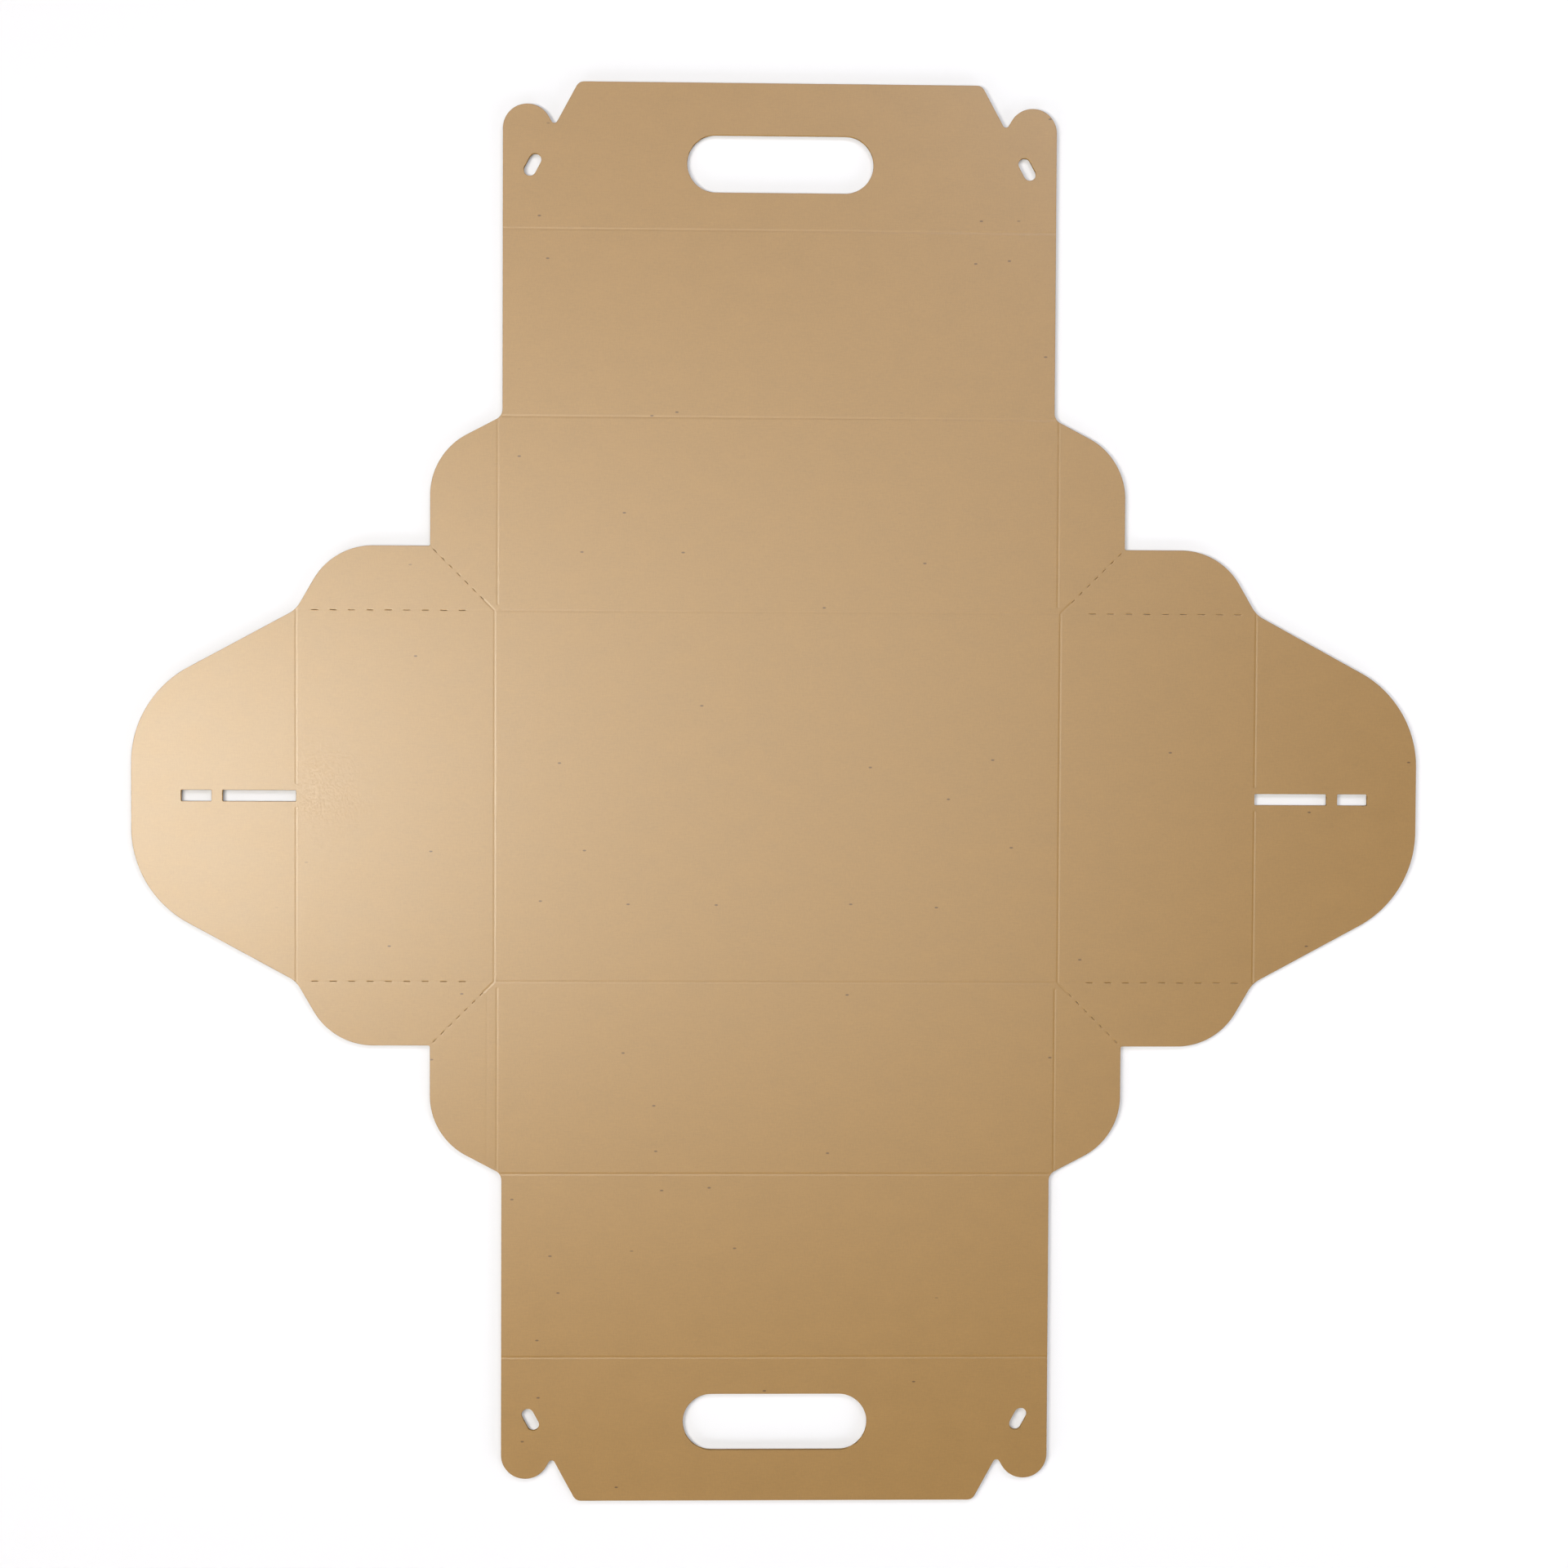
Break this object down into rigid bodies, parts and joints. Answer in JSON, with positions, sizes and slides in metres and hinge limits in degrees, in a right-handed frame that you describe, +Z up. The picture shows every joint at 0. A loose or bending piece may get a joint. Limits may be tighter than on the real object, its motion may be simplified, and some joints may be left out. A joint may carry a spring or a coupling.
{
  "type": "flattened cardboard box",
  "caption": "Flat die-cut kraft board blank of a carry box: base, walls, roof and handle panels, lock flaps with slots, and pressed fold lines.",
  "frame": {"origin": "middle of the base panel, on the underside of the sheet", "axes": "+Z up through the sheet, +Y across the front wall to its handle panel, +X across a side wall to its lock flap"},
  "size_m": [0.5482, 0.6048, 0.0016],
  "materials": {
    "kraft_board": "uncoated kraft liner, slightly calendered"
  },
  "bodies": {
    "root": {"box_blank": "kraft_board"}
  },
  "joints": []
}
